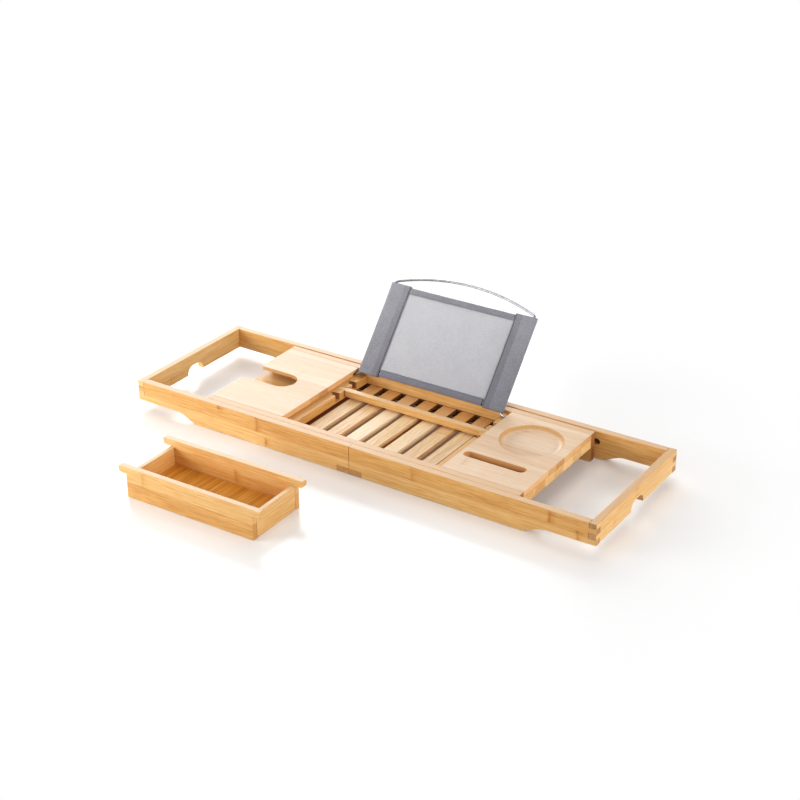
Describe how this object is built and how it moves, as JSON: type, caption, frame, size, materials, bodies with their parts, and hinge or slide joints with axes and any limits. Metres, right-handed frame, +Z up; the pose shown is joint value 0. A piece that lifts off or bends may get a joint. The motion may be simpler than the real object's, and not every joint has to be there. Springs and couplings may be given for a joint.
{
  "type": "bath caddy",
  "caption": "Extending bamboo bath tray with sliding arms, a folding fabric book rest, a glass slot, cup and phone rests, slats and a hanging side tray.",
  "frame": {"origin": "middle of the outer box, on the surface that the set stands on", "axes": "+X along the caddy to its right end, +Y from front to back, +Z up"},
  "size_m": [0.7, 0.49, 0.1589],
  "materials": {
    "bamboo": "satin lacquered bamboo",
    "pale_bamboo": "satin lacquered pale bamboo",
    "dark_bamboo": "satin carbonised bamboo",
    "wire": "polished steel wire",
    "light_fabric": "fine woven light grey cloth",
    "grey_fabric": "twill slate grey cloth"
  },
  "bodies": {
    "core": {"core_front_rail": "bamboo", "core_back_rail": "bamboo", "left_top_board": "pale_bamboo", "left_glass_shelf": "bamboo", "left_front_spacer": "bamboo", "left_back_spacer": "bamboo", "right_top_board": "pale_bamboo", "right_lower_board": "bamboo", "left_notched_rail": "bamboo", "right_notched_rail": "bamboo", "front_slat_batten": "bamboo", "back_slat_batten": "bamboo", "slat_1": "pale_bamboo", "slat_2": "pale_bamboo", "slat_3": "pale_bamboo", "slat_4": "pale_bamboo", "slat_5": "pale_bamboo", "slat_6": "pale_bamboo", "slat_7": "pale_bamboo", "guide_pin_1": "bamboo", "guide_pin_2": "bamboo", "guide_pin_3": "bamboo", "guide_pin_4": "bamboo", "guide_pin_5": "bamboo", "guide_pin_6": "bamboo", "guide_pin_7": "bamboo", "guide_pin_8": "bamboo"},
    "left_arm": {"left_arm_front_rail": "bamboo", "left_arm_back_rail": "bamboo", "left_arm_end_rail": "bamboo", "left_arm_cross_bar": "bamboo"},
    "right_arm": {"right_arm_front_rail": "bamboo", "right_arm_back_rail": "bamboo", "right_arm_end_rail": "bamboo", "right_arm_cross_bar": "bamboo"},
    "book_rest": {"rest_frame_wire": "wire", "rest_cross_wire": "wire", "rest_panel": "light_fabric", "rest_left_sleeve": "grey_fabric", "rest_right_sleeve": "grey_fabric", "rest_top_hem": "grey_fabric", "rest_bottom_hem": "grey_fabric"},
    "book_stop": {"book_stop_bar": "bamboo"},
    "tray": {"tray_front_board": "bamboo", "tray_back_board": "bamboo", "tray_left_end": "bamboo", "tray_right_end": "bamboo", "tray_floor": "dark_bamboo"}
  },
  "joints": [
    {"name": "left_arm_slide", "type": "slide", "parent": "core", "child": "left_arm", "axis": [-1, 0, 0], "range_m": [0, 0.172]},
    {"name": "right_arm_slide", "type": "slide", "parent": "core", "child": "right_arm", "axis": [1, 0, 0], "range_m": [0, 0.172]},
    {"name": "book_rest_hinge", "type": "hinge", "parent": "core", "child": "book_rest", "pos_m": [-0.0009, 0.14053, 0.0347], "axis": [-1, 0, 0], "range_deg": [-129, 0]},
    {"name": "book_stop_lift", "type": "slide", "parent": "core", "child": "book_stop", "axis": [0, 0, 1], "range_m": [0, 0.03]},
    {"name": "tray_lift", "type": "slide", "parent": "core", "child": "tray", "axis": [0, 0, 1], "range_m": [0, 0.1]}
  ]
}
